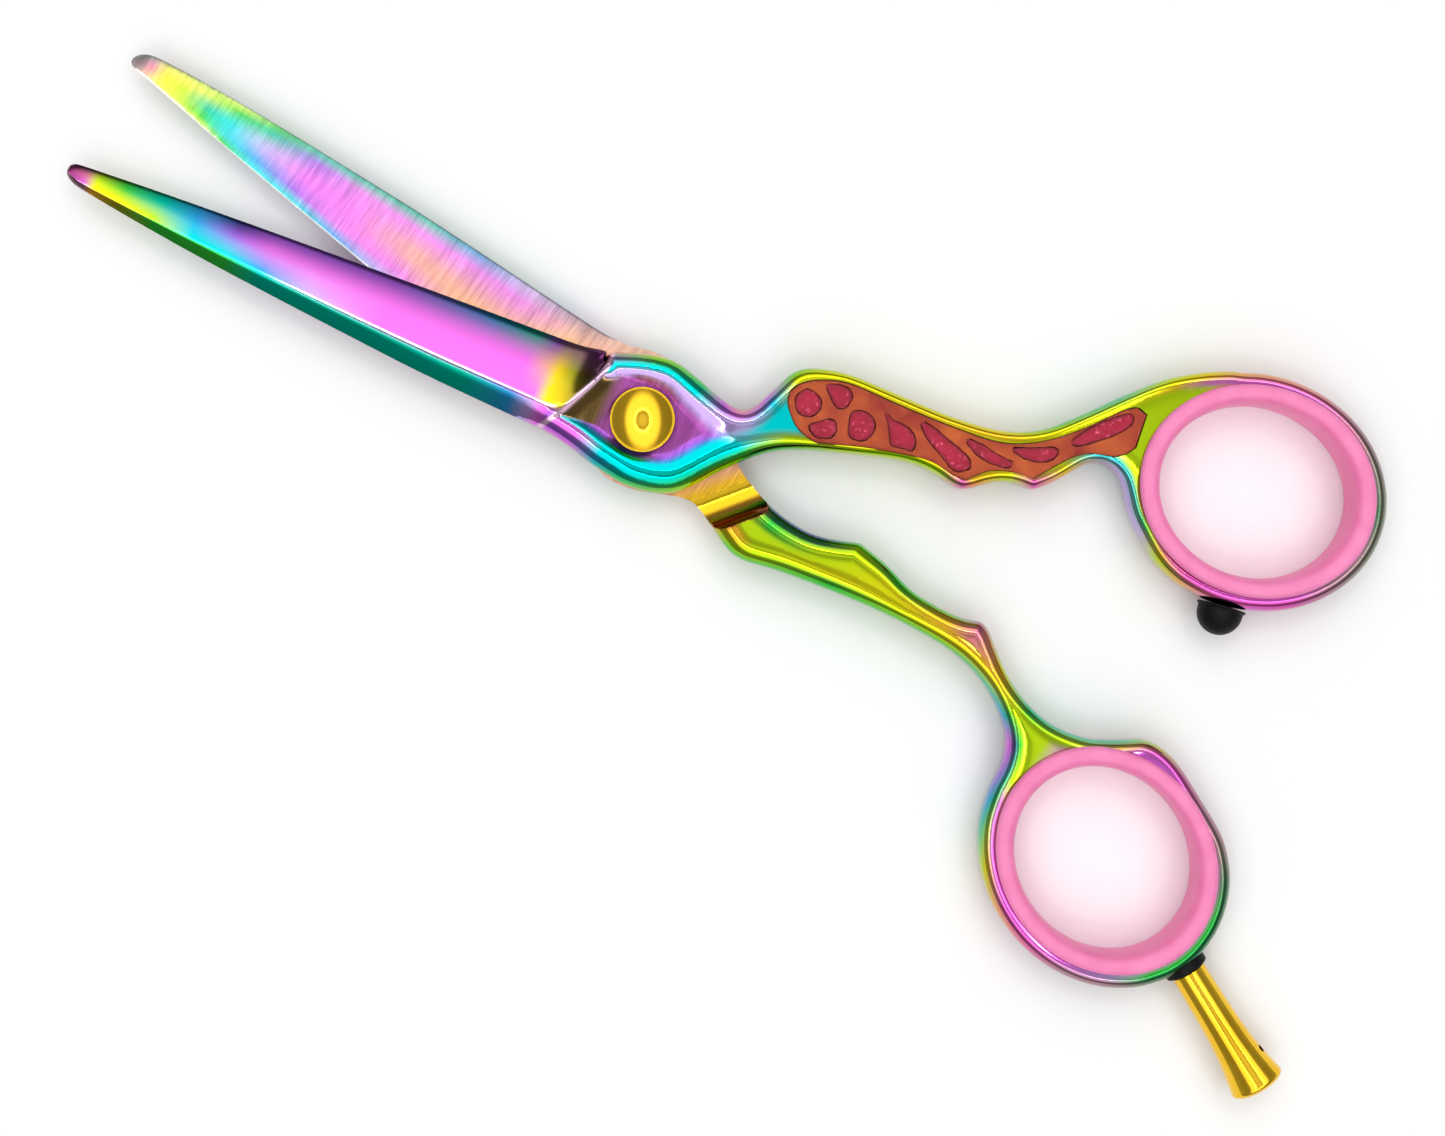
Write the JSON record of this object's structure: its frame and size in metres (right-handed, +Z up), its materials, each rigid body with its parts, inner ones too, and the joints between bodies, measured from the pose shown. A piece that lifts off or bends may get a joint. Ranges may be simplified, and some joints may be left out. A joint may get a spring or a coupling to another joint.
{
  "type": "hairdressing shears",
  "caption": "Offset hairdressing shears with plain blades, an inlaid upper handle, soft ring liners, a rubber stop and a screw-in finger rest.",
  "frame": {"origin": "on the pivot axis, in the flat underside of the tension nut, which lies in the plane that the shears rest on", "axes": "+Z up out of the pivot screw's head, +X from the pivot towards the finger rings along the line that halves the opening"},
  "size_m": [0.1509, 0.0659, 0.008],
  "materials": {
    "rainbow_steel": "polished steel with an interference coating that runs through every hue",
    "gold_plate": "polished gold plate",
    "bare_steel": "plain turned steel",
    "pink_silicone": "satin translucent silicone",
    "black_rubber": "satin rubber",
    "nylon": "natural nylon",
    "inlay_orange": "orange-brown enamel",
    "inlay_glitter": "red enamel with fine glitter",
    "clear_resin": "clear cast resin"
  },
  "bodies": {
    "upper": {"upper_half": "rainbow_steel", "inlay_bed": "inlay_orange", "inlay_field_1": "inlay_glitter", "inlay_field_2": "inlay_glitter", "inlay_field_3": "inlay_glitter", "inlay_field_4": "inlay_glitter", "inlay_field_5": "inlay_glitter", "inlay_field_6": "inlay_glitter", "inlay_field_7": "inlay_glitter", "inlay_field_8": "inlay_glitter", "inlay_field_9": "inlay_glitter", "inlay_resin": "clear_resin", "upper_ring_liner": "pink_silicone", "bumper": "black_rubber", "pivot_sleeve": "nylon"},
    "lower": {"lower_half": "rainbow_steel", "lower_ring_liner": "pink_silicone", "pivot_screw": "gold_plate", "head_washer": "gold_plate", "spring_washer": "bare_steel", "blade_washer": "nylon"},
    "nut": {"tension_nut": "gold_plate"},
    "rest_washer": {"finger_rest_washer": "black_rubber"},
    "rest": {"finger_rest": "gold_plate", "finger_rest_stud": "bare_steel"}
  },
  "joints": [
    {"name": "blade_pivot", "type": "hinge", "parent": "upper", "child": "lower", "pos_m": [0, 0, 0.0035], "axis": [0, 0, 1], "range_deg": [-80, 11.7]},
    {"name": "nut_turn", "type": "hinge", "parent": "lower", "child": "nut", "pos_m": [0, 0, 0], "axis": [0, 0, 1], "range_deg": [-180, 180]},
    {"name": "rest_slide", "type": "slide", "parent": "lower", "child": "rest_washer", "axis": [0.874, -0.4859, 0], "range_m": [0, 0.0009]},
    {"name": "rest_turn", "type": "hinge", "parent": "rest_washer", "child": "rest", "pos_m": [0.07376, -0.0208, 0.0035], "axis": [0.874, -0.4859, 0], "range_deg": [0, 720]}
  ],
  "couplings": [
    {"joint": "rest_turn", "follows": "rest_slide", "rad_per_m": 13960}
  ]
}
